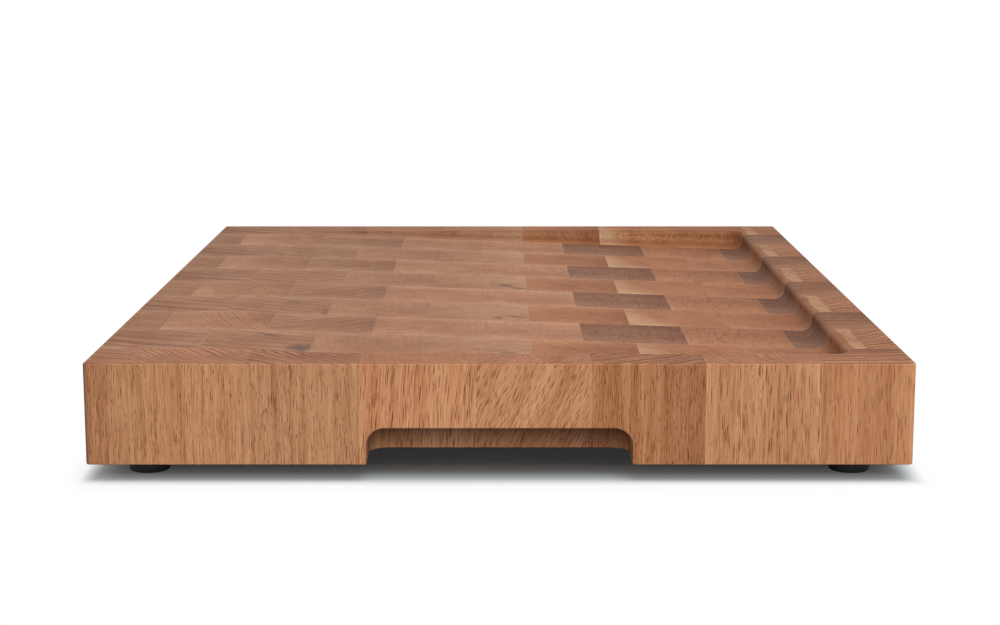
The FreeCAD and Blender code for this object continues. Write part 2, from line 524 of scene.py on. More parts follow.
@dataclass(frozen=True)
class HandlingAndPaintedLight:
    """How the board was cut and glued, and the shade and light painted on it. How far a face looks some way
    goes from 0 to 1.

    Attributes:
        pocket_inset_mm: How far inside the outline a pocket's faces start and are sure.
        steep: How far to the front or the back a routed wall looks, at the start and for sure.
        painted_pocket_shade: Tints of these walls by their height in shares of the board's: painted light
            low in the grips, painted shade under their tops, and lighter painted shade in the recess.
        sideways: How far to the front or the back the recess's right wall looks, for sure and at most.
        right_wall_light_and_shade: Tints of that wall and its rounding, by how far they look up: painted
            light on the steep wall and painted shade on the rounding.
        glue_colour: The glue in the joints.
        glue_line_mm: How wide a joint shows.
        glue_share: How much of the glue's colour shows in its middle.
        edge_highlight_colour: A painted highlight along the upper edges, as if their rounding caught the
            light.
        edge_highlight_mm: How far down it reaches.
        edge_highlight_share: How much of its colour shows.
        edge_highlight_turn: How far up an edge's rounding looks, at the start and at the end.
        side_edge_shading_mm: How far from the left and the right side the painted edge shading reaches.
        side_edge_shades: How light the left side, the middle of the right edge and the right side are:
            painted shade on the left, painted highlight on the right.
        side_edge_turn: How far to the front or the back the shaded faces look, at the start and for sure.
    """

    pocket_inset_mm: Pair = (2.0, 8.0)
    steep: Pair = (0.05, 0.4)
    painted_pocket_shade: Tints = (
        (0.0, (1.9, 1.9, 1.95)),
        (0.09, (1.1, 1.12, 1.18)),
        (0.2, (0.42, 0.43, 0.46)),
        (0.4, (0.4, 0.4, 0.42)),
        (0.55, (0.79, 0.84, 0.95)),
    )
    sideways: Pair = (0.12, 0.66)
    right_wall_light_and_shade: Tints = (
        (0.0, (1.0, 1.1, 1.4)),
        (0.12, (1.0, 1.1, 1.4)),
        (0.34, (0.78, 0.84, 0.92)),
        (0.6, (0.82, 0.86, 0.92)),
        (0.9, (1.0, 1.0, 1.0)),
    )
    glue_colour: str = "CFA27A"
    glue_line_mm: float = 0.2
    glue_share: float = 0.4
    edge_highlight_colour: str = "D0A076"
    edge_highlight_mm: float = 0.9
    edge_highlight_share: float = 0.26
    edge_highlight_turn: Pair = (0.75, 0.97)
    side_edge_shading_mm: float = 2.6
    side_edge_shades: Triple = (0.3, 1.2, 1.22)
    side_edge_turn: Pair = (0.02, 0.12)


@dataclass(frozen=True)
class OiledOak:
    """Oak, planed across its end grain, sanded and oiled.

    End grain drinks the oil, so it is a little darker and less yellow than the sides. The pores are dark
    dots there, strung along the year rings, and long dark dashes on the sides.

    Attributes:
        name: The material's name.
        layout: How the rows that have this finish lie.
        staves: The staves, from left to right.
        knots: The pin knots.
        pattern: How the wood's own patterns are drawn.
        contrast: How strongly they show.
        handling_and_light: How the board was cut and glued, and the shade and light painted on it.
        sapwood: The colour of pale streaks.
        heartwood: The colour of dark streaks.
        knot_colour: The colour of the knots.
        side_tint_and_sheen: What oil does to the sides, a little cooler as painted sheen for the shine that
            the low gloss leaves out.
        end_tint: What it does to the end grain.
        pore_tint: How dark the pores are, for each channel.
        end_turn: How far up a face looks where the end grain starts and where it is full.
        roughness: How dull the oiled wood is.
        pore_rough: How much duller the pores are.
        fibre_rough: How much the fibres change that.
        gloss: How much the oil shines, where 0.5 is usual.
        ior: The oil's refractive index.
        pore_pit: How deep the pores are beside the fibres.
        ring_pit: How deep the rings' porous lines are beside the fibres.
        bump_depth_mm: How deep the fibres are.
        bump_strength: How much of that shows.
        far: What keeps the numbers in a look-up above 0, in mm.
    """

    name: str
    layout: RowLayout
    staves: Sequence[Stave]
    knots: Sequence[Knot] = ()
    pattern: Pattern = Pattern()
    contrast: Contrast = Contrast()
    handling_and_light: HandlingAndPaintedLight = HandlingAndPaintedLight()
    sapwood: str = "DCB07A"
    heartwood: str = "6E452E"
    knot_colour: str = "57463A"
    side_tint_and_sheen: Triple = (1.01, 1.05, 1.15)
    end_tint: Triple = (0.665, 0.655, 0.778)
    pore_tint: Triple = (0.31, 0.14, 0.07)
    end_turn: Pair = (0.3, 0.9)
    roughness: float = 0.55
    pore_rough: float = 0.2
    fibre_rough: float = 0.1
    gloss: float = 0.08
    ior: float = 1.5
    pore_pit: float = 0.8
    ring_pit: float = 0.25
    bump_depth_mm: float = 0.12
    bump_strength: float = 0.35
    far: float = 500.0

    def locate(self, shader: Shader, low: Vector, high: Vector) -> Spot:
        """Work out where a point of the surface lies.

        Args:
            shader: The material's node tree.
            low: The board's left front lower corner, in metres.
            high: The board's right rear upper corner, in metres.

        Returns:
            The outputs that say so.
        """
        add = shader.add
        lay = self.layout
        place = add("TexCoord", out="Object")
        place = shader.vector("MULTIPLY_ADD", place, (1 / MM,) * 3, tuple(-low / MM))
        axes = add("SeparateXYZ", {0: place}).node.outputs
        along = shader.calc("MULTIPLY_ADD", axes["X"], 1 / lay.block, -lay.first_joint / lay.block)
        number = shader.calc("FLOOR", along)
        along = shader.calc("FRACT", along)
        right = shader.calc("MULTIPLY_ADD", along, lay.block, -lay.block / 2)
        pair = 2 * lay.row
        across = shader.calc("MULTIPLY_ADD", axes["Y"], 1 / pair, -lay.first_row / pair)
        slice_number = shader.calc("FLOOR", across)
        across = shader.calc("FRACT", across)
        behind = shader.calc("MULTIPLY_ADD", across, pair, -lay.row / 2)
        middle = tuple((high - low) / 2 / MM)
        inset = shader.vector("SUBTRACT", place, middle)
        inset = shader.vector("ABSOLUTE", inset)
        inset = shader.vector("SUBTRACT", middle, inset)
        sides = add("SeparateXYZ", {0: inset}).node.outputs
        inset = shader.calc("MINIMUM", sides["X"], sides["Y"])
        facing = shader.vector("ABSOLUTE", add("NewGeometry", out="Normal"))
        facing = add("SeparateXYZ", {0: facing}).node.outputs
        end_grain = shader.span(facing["Z"], self.end_turn, smooth=True)
        return Spot(
            place=place,
            height=axes["Z"],
            inset=inset,
            number=number,
            slice_number=slice_number,
            right=right,
            behind=behind,
            upright=facing["Z"],
            forward=facing["Y"],
            end_grain=end_grain,
        )

    def look_up(self, shader: Shader, spot: Spot) -> Habit:
        """Look up what differs from stave to stave.

        Args:
            shader: The material's node tree.
            spot: Where the point lies.

        Returns:
            The outputs that differ. A number that may be below 0 has far or 1 added to it.
        """
        staves = self.staves
        piths = [(s.pith()[0] + self.far, s.pith()[1] + self.far, s.ring_gap) for s in staves]
        growths = [(s.ring_depth, s.pores, s.lean) for s in staves]
        figures = [(s.short_pores, s.fleck, 0) for s in staves]
        washes = [tuple(1 + part for part in s.wash) for s in staves]
        sides = []
        shades = []
        for stave in staves:
            bearing = math.radians(stave.streak.bearing)
            sides.append((1 + math.cos(bearing), 1 + math.sin(bearing), self.far + stave.streak.start))
            shades.append((stave.streak.soft, max(stave.streak.shade, 0), max(-stave.streak.shade, 0)))

        # The first block's number is -1, and a key lies in the middle of its stave's share of the ramp
        key = shader.calc("MULTIPLY_ADD", spot.number, 1 / len(staves), 1.5 / len(staves))
        found = []
        for rows in ([s.colour() for s in staves], piths, growths, figures, washes, sides, shades):
            stops = [(place / len(rows), row) for place, row in enumerate(rows)]
            found.append(shader.add("ValToRGB", {0: key}, stops=stops, blend="CONSTANT"))
        return Habit(*found)

    def grow(self, shader: Shader, spot: Spot, habit: Habit) -> Grain:
        """Draw the year rings, pores, fibres, bands and clouds of the wood.

        Args:
            shader: The material's node tree.
            spot: Where the point lies.
            habit: What differs from stave to stave.

        Returns:
            The patterns.
        """
        add = shader.add
        pattern = self.pattern
        growth = add("SeparateXYZ", {0: habit.growth}).node.outputs
        figure = add("SeparateXYZ", {0: habit.figure}).node.outputs
        pith = add("SeparateXYZ", {0: habit.pith}).node.outputs

        # The place in the grown stave: fibres run up, and each slice was cut further along
        sheared = shader.calc("MULTIPLY", growth["Z"], spot.height)
        sheared = shader.calc("SUBTRACT", spot.right, sheared)
        length = shader.calc("MULTIPLY_ADD", spot.slice_number, pattern.slice_mm, spot.height)
        apart = pattern.blocks_apart * self.layout.block
        apart = shader.calc("MULTIPLY", spot.number, apart)
        own = shader.calc("ADD", apart, sheared)
        seeded = shader.calc("ADD", spot.behind, self.layout.seed)
        grown = add("CombineXYZ", {0: own, 1: seeded, 2: length})

        # Fibres wander a little from side to side as they run up
        width, long = pattern.wander_mm
        wander = shader.vector("MULTIPLY", grown, per_mm(width, width, long))
        wander = add("TexNoise", {"Vector": wander, "Scale": 1.0, "Detail": 1.0}, out="Color")
        grown = shader.vector("MULTIPLY_ADD", wander, (pattern.wander_by_mm,) * 3, grown)

        # Streaks that run up the stave, from clouds to single fibres
        streaks = []
        for size, detail in ((pattern.cloud_mm, 3.0), (pattern.band_mm, 2.0), (pattern.fibre_mm, 2.0)):
            width, long = size
            place = shader.vector("MULTIPLY", grown, per_mm(width, width, long))
            noise = {"Vector": place, "Scale": 1.0, "Detail": detail, "Roughness": pattern.streak_roughness}
            streaks.append(add("TexNoise", noise))
        cloud, band, fibre = streaks
        fibre = shader.span(fibre, pattern.fibre_edges, smooth=True)

        # Year rings about the pith, a little out of round
        here = add("CombineXYZ", {0: sheared, 1: spot.behind})
        centre = add("CombineXYZ", {0: pith["X"], 1: pith["Y"]})
        centre = shader.vector("SUBTRACT", centre, (self.far, self.far, 0))
        radius = shader.vector("DISTANCE", here, centre, out="Value")
        radius = shader.calc("MULTIPLY_ADD", cloud, pattern.ring_waver_mm, radius)

        # Rays run out from the pith across the end grain
        inward = shader.vector("NORMALIZE", centre)
        toward = shader.vector("SUBTRACT", centre, here)
        ahead = shader.vector("DOT_PRODUCT", toward, inward, out="Value")
        aside = shader.vector("CROSS_PRODUCT", toward, inward)
        aside = add("SeparateXYZ", {0: aside}, out="Z")
        aside = shader.calc("DIVIDE", aside, ahead)
        away = shader.vector("LENGTH", centre, out="Value")
        aside = shader.calc("MULTIPLY_ADD", aside, away, apart)
        ray = add("CombineXYZ", {0: aside, 1: radius, 2: length})
        ray = shader.vector("MULTIPLY", ray, per_mm(*pattern.ray_mm, pattern.slice_mm))
        ray = {"Vector": ray, "Scale": 1.0, "Detail": 1.0, "Roughness": pattern.ray_roughness}
        ray = add("TexNoise", ray)
        fleck = shader.span(ray, pattern.ray_edges, pattern.ray_light, smooth=True)

        # Good and bad years: rings drift in width, and each has its own density
        years = shader.calc("DIVIDE", radius, pith["Z"])
        drift = shader.calc("MULTIPLY_ADD", spot.number, pattern.drift_seed, years)
        drift = {"W": drift, "Scale": pattern.drift_rate, "Detail": 1.0}
        drift = add("TexNoise", drift, noise_dimensions="1D")
        years = shader.calc("MULTIPLY_ADD", drift, pattern.drift_years, years)
        year = shader.calc("FLOOR", years)
        year = shader.calc("MULTIPLY_ADD", spot.number, pattern.year_seed, year)
        dense = add("TexWhiteNoise", {"W": year}, noise_dimensions="1D")
        dense = shader.span(dense, to=pattern.ring_density)
        years = shader.calc("FRACT", years)
        ring = add("ValToRGB", {0: years}, stops=greys(pattern.ring_profile), blend="EASE")
        ring = shader.calc("MULTIPLY", ring, dense)

        # Pores: ellipsoids along the fibres, larger in a ring's porous line
        pores = []
        for (width, long), size in ((pattern.pore_mm, growth["Y"]), (pattern.fine_pore_mm, figure["X"])):
            pore = shader.vector("MULTIPLY", grown, per_mm(width, width, long))
            pore = add("TexVoronoi", {"Vector": pore, "Scale": 1.0}, out="Distance")
            reach = shader.calc("MULTIPLY_ADD", ring, pattern.ring_reach, pattern.pore_reach)
            reach = shader.calc("MULTIPLY", reach, size)
            core = shader.calc("MULTIPLY", reach, pattern.pore_core)
            pores.append(shader.span(pore, (core, reach), (1.0, 0.0), smooth=True))
        pore = shader.calc("MAXIMUM", pores[0], pores[1])
        return Grain(ring, pore, fibre, fleck, band, cloud)

    def streak(self, shader: Shader, spot: Spot, habit: Habit, grain: Grain) -> Socket:
        """Colour the stave, with its part in sapwood or dark heartwood.

        Args:
            shader: The material's node tree.
            spot: Where the point lies.
            habit: What differs from stave to stave.
            grain: The wood's patterns.

        Returns:
            The colour.
        """
        add = shader.add
        side = add("SeparateXYZ", {0: habit.streak_side}).node.outputs
        shade = add("SeparateXYZ", {0: habit.streak_shade}).node.outputs
        east = shader.calc("SUBTRACT", side["X"], 1.0)
        north = shader.calc("SUBTRACT", side["Y"], 1.0)
        beyond = shader.calc("MULTIPLY", east, spot.right)
        beyond = shader.calc("MULTIPLY_ADD", north, spot.behind, beyond)
        beyond = shader.calc("SUBTRACT", beyond, side["Z"])
        wave = self.contrast.streak_wave_mm
        wavy = shader.calc("MULTIPLY_ADD", grain.cloud, wave, self.far - wave / 2)
        beyond = shader.calc("ADD", beyond, wavy)
        share = shader.span(beyond, (0.0, shade["X"]), smooth=True)
        colour = habit.tone
        for amount, wood in ((shade["Y"], self.sapwood), (shade["Z"], self.heartwood)):
            cover = shader.calc("MULTIPLY", share, amount)
            colour = shader.mix(cover, colour, linear(wood))
        return colour

    def darken(self, shader: Shader, spot: Spot, habit: Habit, grain: Grain, colour: Socket) -> Socket:
        """Lay the grain over the stave's colour: rings, streaks and pores.

        Args:
            shader: The material's node tree.
            spot: Where the point lies.
            habit: What differs from stave to stave.
            grain: The wood's patterns.
            colour: The stave's colour.

        Returns:
            The colour with its grain.
        """
        add = shader.add
        contrast = self.contrast

        # Deep rings show everywhere, and faint ones only in patches
        depth = add("SeparateXYZ", {0: habit.growth})
        patchy = shader.span(grain.cloud, contrast.patch_edges, contrast.patch_shares)
        steady = add("Mix", {0: depth, 2: patchy, 3: 1.0}, data_type="FLOAT")
        depth = shader.calc("MULTIPLY", depth, steady)
        across = shader.span(spot.end_grain, to=contrast.rings)
        depth = shader.calc("MULTIPLY", depth, across)
        rings = shader.calc("SUBTRACT", contrast.ring_middle, grain.ring)
        light = shader.calc("MULTIPLY_ADD", rings, depth, 1.0)

        speckle = add("SeparateXYZ", {0: habit.figure}, out="Y")
        streaks = (
            (grain.fibre, contrast.fibres),
            (grain.band, contrast.bands),
            (grain.cloud, contrast.clouds),
            (grain.fleck, (0.0, speckle)),
        )
        for streak, amounts in streaks:
            amount = shader.span(spot.end_grain, to=amounts)
            swing = shader.calc("SUBTRACT", streak, 0.5)
            light = shader.calc("MULTIPLY_ADD", swing, amount, light)

        # The wash goes from -1 to 1 over the block, each way
        aside = shader.calc("MULTIPLY", spot.right, 2 / self.layout.block)
        aback = shader.calc("MULTIPLY", spot.behind, 2 / self.layout.row)
        to_edges = shader.calc("ABSOLUTE", aback)
        to_edges = shader.calc("POWER", to_edges, contrast.edge_power)
        to_edges = shader.calc("SUBTRACT", to_edges, contrast.edge_mean)
        ways = add("CombineXYZ", {0: aside, 1: aback, 2: to_edges})
        wash = shader.vector("SUBTRACT", habit.wash, (1, 1, 1))
        wash = shader.vector("DOT_PRODUCT", wash, ways, out="Value")
        light = shader.calc("ADD", wash, light)

        # Dark lines in oak are redder than the wood around them, and pale ones yellower
        green, blue = (shader.calc("POWER", light, power) for power in contrast.redden)
        light = add("CombineXYZ", {0: light, 1: green, 2: blue})
        colour = shader.vector("MULTIPLY", colour, light)
        cover = shader.span(spot.end_grain, to=contrast.pores)
        cover = shader.calc("MULTIPLY", grain.pore, cover)
        return shader.mix(cover, colour, (*self.pore_tint, 1.0), "MULTIPLY")

    def mark(self, shader: Shader, spot: Spot, grain: Grain, colour: Socket) -> Socket:
        """Draw the fine pale glue lines and the pin knots.

        Args:
            shader: The material's node tree.
            spot: Where the point lies.
            grain: The wood's patterns.
            colour: The colour so far.

        Returns:
            The colour with these marks.
        """
        add = shader.add
        handling_and_light = self.handling_and_light
        edges = []
        for offset, half in ((spot.right, self.layout.block / 2), (spot.behind, self.layout.row / 2)):
            edge = shader.calc("ABSOLUTE", offset)
            edges.append(shader.calc("SUBTRACT", half, edge))
        glue = shader.calc("MINIMUM", edges[0], edges[1])
        glue = shader.span(glue, (0.0, 2 * handling_and_light.glue_line_mm), (handling_and_light.glue_share, 0.0))
        colour = shader.mix(glue, colour, linear(handling_and_light.glue_colour))
        for knot in self.knots:
            turned = {
                "Vector": spot.place,
                "Location": (knot.right, knot.back, knot.up),
                "Rotation": (0, 0, math.radians(knot.turn)),
                "Scale": (knot.length, knot.width, knot.reach),
            }
            away = add("Mapping", turned, vector_type="TEXTURE")
            away = shader.vector("LENGTH", away, out="Value")
            away = shader.calc("MULTIPLY_ADD", grain.band, self.contrast.knot_ragged, away)
            dark = shader.span(away, self.contrast.knot_edges, (knot.depth, 0.0), smooth=True)
            colour = shader.mix(dark, colour, linear(self.knot_colour))
        return colour

    def finish(self, shader: Shader, spot: Spot, width: float, height: float, colour: Socket) -> Socket:
        """Tint the end grain, and paint shade and light on the pockets' walls and along the board's edges.

        Args:
            shader: The material's node tree.
            spot: Where the point lies.
            width: The board's width, in mm.
            height: The board's height, in mm.
            colour: The colour so far.

        Returns:
            The finished colour.
        """
        add = shader.add
        handling_and_light = self.handling_and_light
        # The sides' tint is a little cool: painted sheen for the shine that the low gloss leaves out
        tint = shader.mix(spot.end_grain, (*self.side_tint_and_sheen, 1.0), (*self.end_tint, 1.0))
        colour = shader.vector("MULTIPLY", colour, tint)

        # Painted shade on the walls of the grips and the recess, darkest under the grips' tops, with
        # painted light low in the grips
        level = shader.calc("MULTIPLY", spot.height, 1 / height)
        painted_pocket_shade = add("ValToRGB", {0: level}, stops=handling_and_light.painted_pocket_shade)
        pocket = shader.span(spot.inset, handling_and_light.pocket_inset_mm)
        steep = shader.span(spot.forward, handling_and_light.steep, smooth=True)
        walls = shader.calc("MULTIPLY", pocket, steep)
        colour = shader.mix(walls, colour, painted_pocket_shade, "MULTIPLY")

        # Painted light on the sideways pocket walls, mostly the recess's right wall, and painted shade on
        # the rounding above it
        aside = shader.span(spot.forward, handling_and_light.sideways, (1.0, 0.0))
        aside = shader.calc("MULTIPLY", aside, pocket)
        painted_wall_light_and_shade = add("ValToRGB", {0: spot.upright}, stops=handling_and_light.right_wall_light_and_shade)
        colour = shader.mix(aside, colour, painted_wall_light_and_shade, "MULTIPLY")

        # Painted highlight along the upper edges, as if their rounding caught the light
        edge_highlight = (height - handling_and_light.edge_highlight_mm, height)
        near_top = shader.span(spot.height, edge_highlight, (0.0, handling_and_light.edge_highlight_share))
        turning = shader.span(spot.upright, handling_and_light.edge_highlight_turn, (1.0, 0.0))
        edge_highlight = shader.calc("MULTIPLY", near_top, turning)
        colour = shader.mix(edge_highlight, colour, linear(handling_and_light.edge_highlight_colour))

        # Painted shade on the left upright edge and a painted highlight on the right one
        across = add("SeparateXYZ", {0: spot.place})
        across = shader.calc("MULTIPLY", across, 1 / width)
        edge = handling_and_light.side_edge_shading_mm / width
        left, middle, right = handling_and_light.side_edge_shades
        shades = ((0.0, left), (edge, 1.0), (1 - edge, 1.0), (1 - edge / 2, middle), (1.0, right))
        side_edge_shading = add("ValToRGB", {0: across}, stops=greys(shades))
        rounded = shader.span(spot.forward, handling_and_light.side_edge_turn)
        return shader.mix(rounded, colour, side_edge_shading, "MULTIPLY")

    def build(self, low: Vector, high: Vector) -> bpy.types.Material:
        """Make the material.

        Args:
            low: The board's left front lower corner, in metres.
            high: The board's right rear upper corner, in metres.

        Returns:
            The finished material.
        """
        shader = Shader(self.name)
        add = shader.add
        spot = self.locate(shader, low, high)
        habit = self.look_up(shader, spot)
        grain = self.grow(shader, spot, habit)
        colour = self.streak(shader, spot, habit, grain)
        colour = self.darken(shader, spot, habit, grain, colour)
        colour = self.mark(shader, spot, grain, colour)
        colour = self.finish(shader, spot, (high.x - low.x) / MM, (high.z - low.z) / MM, colour)

        # Pores are pits, and oil lies smoother on the dense wood
        pits = shader.calc("MULTIPLY_ADD", grain.pore, -self.pore_pit, grain.fibre)
        pits = shader.calc("MULTIPLY_ADD", grain.ring, -self.ring_pit, pits)
        bump = {"Height": pits, "Strength": self.bump_strength, "Distance": self.bump_depth_mm * MM}
        bump = add("Bump", bump)
        mean = self.roughness - self.fibre_rough / 2
        rough = shader.calc("MULTIPLY_ADD", grain.pore, self.pore_rough, mean)
        rough = shader.calc("MULTIPLY_ADD", grain.fibre, self.fibre_rough, rough)
        surface = {
            "Base Color": colour,
            "Roughness": rough,
            "IOR": self.ior,
            "Specular IOR Level": self.gloss,
            "Normal": bump,
        }
        add("OutputMaterial", {"Surface": add("BsdfPrincipled", surface)})
        return shader.material


@dataclass(frozen=True)
class MouldedRubber:
    """Black rubber, moulded in a spark-eroded tool: a dull, finely pebbled skin that scatters light.

    Attributes:
        name: The material's name.
        colour: Clean rubber.
        dusty: Rubber under a little dust.
        dust_edges: Where in the noise the dust starts and is full.
        dust_mm: The size of a dusty part.
        pebble_mm: The size of a pebble.
        roughness: How dull the skin is.
        rough_swing: How much the pebbles change that.
        bump_depth_mm: How high the pebbles are.
        bump_strength: How much of that shows.
        ior: The rubber's refractive index.
    """

    name: str = "black_rubber_moulded"
    colour: str = "17191A"
    dusty: str = "2A2C2C"
    dust_edges: Pair = (0.35, 0.75)
    dust_mm: float = 6.0
    pebble_mm: float = 0.45
    roughness: float = 0.68
    rough_swing: float = 0.2
    bump_depth_mm: float = 0.1
    bump_strength: float = 0.5
    ior: float = 1.52

    def build(self) -> bpy.types.Material:
        """Make the material.

        Returns:
            The finished material.
        """
        shader = Shader(self.name)
        add = shader.add
        place = add("TexCoord", out="Object")
        pebble = add("TexNoise", {"Vector": place, "Scale": 1 / (self.pebble_mm * MM), "Detail": 2.0})
        dust = add("TexNoise", {"Vector": place, "Scale": 1 / (self.dust_mm * MM), "Detail": 4.0})
        stops = list(zip(self.dust_edges, (linear(self.colour), linear(self.dusty))))
        colour = add("ValToRGB", {0: dust}, stops=stops, blend="EASE")
        mean = self.roughness - self.rough_swing / 2
        rough = shader.calc("MULTIPLY_ADD", pebble, self.rough_swing, mean)
        bump = {"Height": pebble, "Strength": self.bump_strength, "Distance": self.bump_depth_mm * MM}
        bump = add("Bump", bump)
        surface = {"Base Color": colour, "Roughness": rough, "IOR": self.ior, "Normal": bump}
        add("OutputMaterial", {"Surface": add("BsdfPrincipled", surface)})
        return shader.material


@dataclass(frozen=True)
class PlatedSteel:
    """Steel with a bright zinc plate: a cool grey metal, faintly clouded, with fine turned marks.

    Attributes:
        name: The material's name.
        colour: The bright plate.
        cloudy: The plate where it is clouded.
        cloud_edges: Where in the noise the clouds end and the bright plate is full.
        cloud_mm: The size of a cloud.
        mark_mm: The length and the width of a turned mark.
        roughness: How dull the plate is.
        rough_swing: How much the clouds change that.
        bump_depth_mm: How deep the marks are.
        bump_strength: How much of that shows.
    """

    name: str = "zinc_plated_steel"
    colour: str = "C4C8CC"
    cloudy: str = "9EA3A8"
    cloud_edges: Pair = (0.3, 0.7)
    cloud_mm: float = 2.2
    mark_mm: Pair = (4.0, 0.25)
    roughness: float = 0.32
    rough_swing: float = 0.16
    bump_depth_mm: float = 0.05
    bump_strength: float = 0.2

    def build(self) -> bpy.types.Material:
        """Make the material.

        Returns:
            The finished material.
        """
        shader = Shader(self.name)
        add = shader.add
        place = add("TexCoord", out="Object")
        cloud = add("TexNoise", {"Vector": place, "Scale": 1 / (self.cloud_mm * MM), "Detail": 3.0})
        stops = list(zip(self.cloud_edges, (linear(self.cloudy), linear(self.colour))))
        colour = add("ValToRGB", {0: cloud}, stops=stops, blend="EASE")
        long, thin = (size * MM for size in self.mark_mm)
        marks = shader.vector("MULTIPLY", place, per_mm(long, long, thin))
        marks = add("TexNoise", {"Vector": marks, "Scale": 1.0, "Detail": 2.0})
        mean = self.roughness - self.rough_swing / 2
        rough = shader.calc("MULTIPLY_ADD", cloud, self.rough_swing, mean)
        bump = {"Height": marks, "Strength": self.bump_strength, "Distance": self.bump_depth_mm * MM}
        bump = add("Bump", bump)
        surface = {"Base Color": colour, "Metallic": 1.0, "Roughness": rough, "Normal": bump}
        add("OutputMaterial", {"Surface": add("BsdfPrincipled", surface)})
        return shader.material


@dataclass(frozen=True)
class Board:
    """The glued blocks.

    Attributes:
        block_mm: The length of a block.
        first_block_mm: The length of the front row's first block.
        row_mm: The width of an inner row.
        front_row_mm: The width of the front row.
        inner_rows: How many inner rows there are.
        even_seed: What sets the even rows' patterns apart from the odd rows'.
        front_end_tint: What oil does to the end grain of the front row.
        rear_end_tint: What it does to that of the rear row.
    """

    block_mm: float = 55.5
    first_block_mm: float = 22.0
    row_mm: float = 52.25
    front_row_mm: float = 37.0
    inner_rows: int = 8
    even_seed: float = 377.0
    front_end_tint: Triple = (0.675, 0.605, 0.635)
    rear_end_tint: Triple = (0.66, 0.61, 0.68)

    def corners(self) -> tuple[Vector, Vector]:
        """Find the corners of the board without its feet.

        Returns:
            The left front lower and the right rear upper corner, in metres.
        """
        boxes = [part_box(name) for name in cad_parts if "block" in name]
        low = Vector(map(min, *(box[0] for box in boxes)))
        high = Vector(map(max, *(box[1] for box in boxes)))
        return low, high

    def dress(self) -> None:
        """Give every block its oak."""
        corners = self.corners()
        odd_start = self.front_row_mm - self.row_mm
        odd = RowLayout(self.first_block_mm, self.block_mm, odd_start, self.row_mm, seed=0.0)
        even_joint = self.first_block_mm + self.block_mm / 2
        even = RowLayout(even_joint, self.block_mm, self.front_row_mm, self.row_mm, self.even_seed)
        front = {"knots": FRONT_KNOTS, "end_tint": self.front_end_tint}
        front_oak = OiledOak("oiled_oak_front_row", odd, FRONT_STAVES, **front).build(*corners)
        odd_oak = OiledOak("oiled_oak_odd_rows", odd, ODD_STAVES).build(*corners)
        even_oak = OiledOak("oiled_oak_even_rows", even, EVEN_STAVES, EVEN_KNOTS).build(*corners)
        rear = {"end_tint": self.rear_end_tint}
        rear_oak = OiledOak("oiled_oak_rear_row", even, EVEN_STAVES, **rear).build(*corners)
        for number in range(1, len(FRONT_STAVES) + 1):
            finish(f"front_block_{number}", front_oak)
        for number in range(1, len(EVEN_STAVES) + 1):
            finish(f"rear_block_{number}", rear_oak)
        for number in range(1, self.inner_rows + 1):
            finish(f"inner_row_{number}", even_oak if number % 2 else odd_oak)


@dataclass(frozen=True)
class Feet:
    """The rubber feet with their washers and screws.

    Attributes:
        corners: Where the feet stand.
    """

    corners: tuple[str, ...] = ("front_left", "front_right", "rear_left", "rear_right")

    def dress(self) -> None:
        """Give the feet their rubber, and the fasteners their plating."""
        rubber = MouldedRubber().build()
        for corner in self.corners:
            finish(f"foot_{corner}", rubber)
        steel = PlatedSteel().build()
        finish("foot_washers", steel)
        finish("foot_screws", steel)


def finish(node: str, material: bpy.types.Material) -> None:
    """Give a CAD node its finish.

    Args:
        node: The node's name.
        material: What its surface is made of.
    """
    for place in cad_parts[node].material_slots:
        place.material = material
    LOG.info("%s: %s", node, material.name)


@dataclass(frozen=True)
class Softbox:
    """A large square lamp that points at the board.

    Attributes:
        name: The lamp's name.
        place: Where it stands, in metres.
        size: Its width and height, in metres.
        power: Its power, in watts.
        colour: Its colour.
    """

    name: str
    place: Triple
    size: Pair
    power: float
    colour: str = "FFFFFF"

    def build(self, target: Vector) -> None:
        """Set the lamp up.

        Args:
            target: What it points at, in metres.
        """
        lamp = bpy.data.lights.new(self.name, "AREA")
        lamp.shape = "RECTANGLE"
        lamp.size, lamp.size_y = self.size
        lamp.energy = self.power
        lamp.color = linear(self.colour)[:3]
        holder = bpy.data.objects.new(self.name, lamp)
        holder.location = self.place
        holder.rotation_euler = (target - holder.location).to_track_quat("-Z", "Y").to_euler()
        bpy.context.scene.collection.objects.link(holder)


